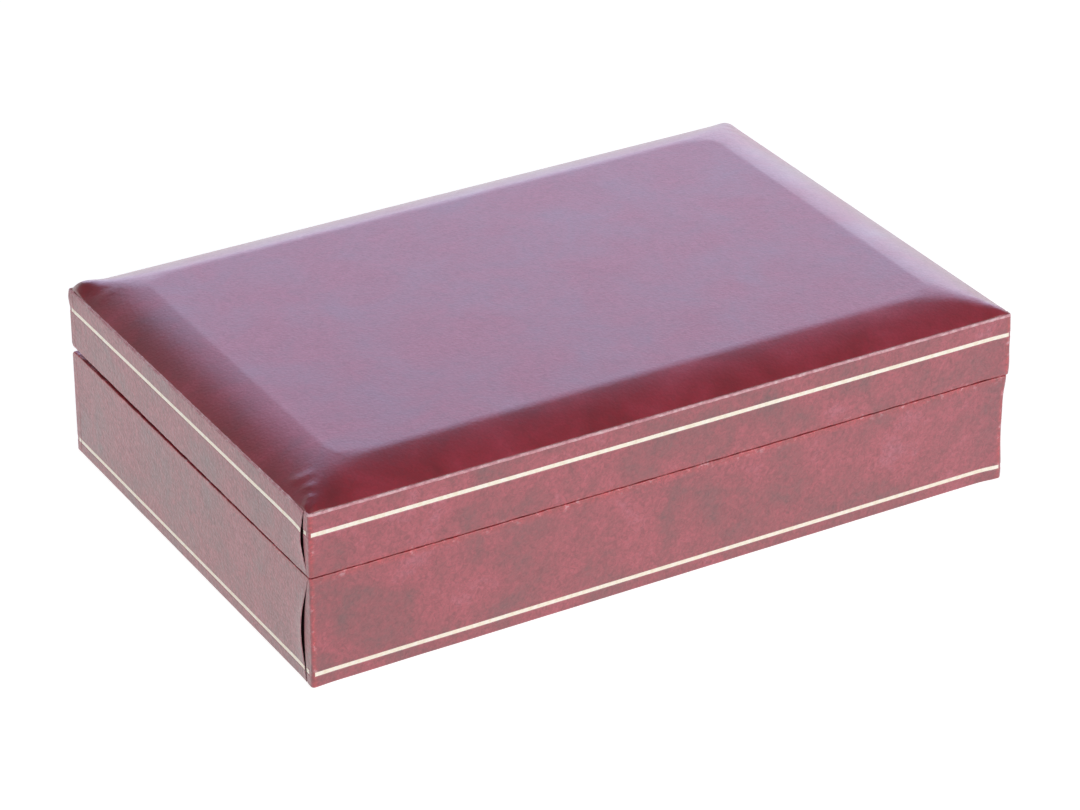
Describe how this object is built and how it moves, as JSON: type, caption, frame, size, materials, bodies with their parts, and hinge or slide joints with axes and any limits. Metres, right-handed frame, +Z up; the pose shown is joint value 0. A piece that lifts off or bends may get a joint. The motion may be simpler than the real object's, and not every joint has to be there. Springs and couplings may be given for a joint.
{
  "type": "stationery box",
  "caption": "Hinged presentation box for stationery, covered in burgundy leatherette with gilt lines, with a bevelled cushion-shaped lid and a lined well.",
  "frame": {"origin": "middle of the underside, on the plane that the box stands on", "axes": "+X along the length, towards the right-hand end seen from the front; +Y towards the hinges at the rear; +Z up"},
  "size_m": [0.25, 0.166, 0.0648],
  "materials": {
    "leatherette_side": "satin grained leatherette",
    "leatherette_top": "glossy grained leatherette",
    "gilt_line": "pale gilt foil",
    "carcass_wood": "planed",
    "base_velvet": "velvet",
    "lid_satin": "satin",
    "underside_felt": "felt",
    "hinge_brass": "polished",
    "screw_brass": "polished",
    "pin_steel": "bright"
  },
  "bodies": {
    "base": {"base_board": "carcass_wood", "base_front_wall": "carcass_wood", "base_rear_wall": "carcass_wood", "base_left_wall": "carcass_wood", "base_right_wall": "carcass_wood", "base_front_cover": "leatherette_side", "base_rear_cover": "leatherette_side", "base_left_cover": "leatherette_side", "base_right_cover": "leatherette_side", "base_underside": "underside_felt", "base_front_lining": "base_velvet", "base_rear_lining": "base_velvet", "base_left_lining": "base_velvet", "base_right_lining": "base_velvet", "base_floor_pad": "base_velvet", "base_gilt_line": "gilt_line", "left_hinge_base_leaf": "hinge_brass", "right_hinge_base_leaf": "hinge_brass", "left_hinge_pin": "pin_steel", "right_hinge_pin": "pin_steel", "base_hinge_screws": "screw_brass"},
    "lid": {"lid_top_board": "carcass_wood", "lid_front_wall": "carcass_wood", "lid_rear_wall": "carcass_wood", "lid_left_wall": "carcass_wood", "lid_right_wall": "carcass_wood", "lid_top_cover": "leatherette_top", "lid_front_cover": "leatherette_side", "lid_rear_cover": "leatherette_side", "lid_left_cover": "leatherette_side", "lid_right_cover": "leatherette_side", "lid_front_lining": "lid_satin", "lid_rear_lining": "lid_satin", "lid_left_lining": "lid_satin", "lid_right_lining": "lid_satin", "lid_pad": "lid_satin", "lid_gilt_line": "gilt_line", "left_hinge_lid_leaf": "hinge_brass", "right_hinge_lid_leaf": "hinge_brass", "lid_hinge_screws": "screw_brass"}
  },
  "joints": [
    {"name": "lid_hinge", "type": "hinge", "parent": "base", "child": "lid", "pos_m": [0, 0.08145, 0.0375], "axis": [-1, 0, 0], "range_deg": [0, 105]}
  ]
}
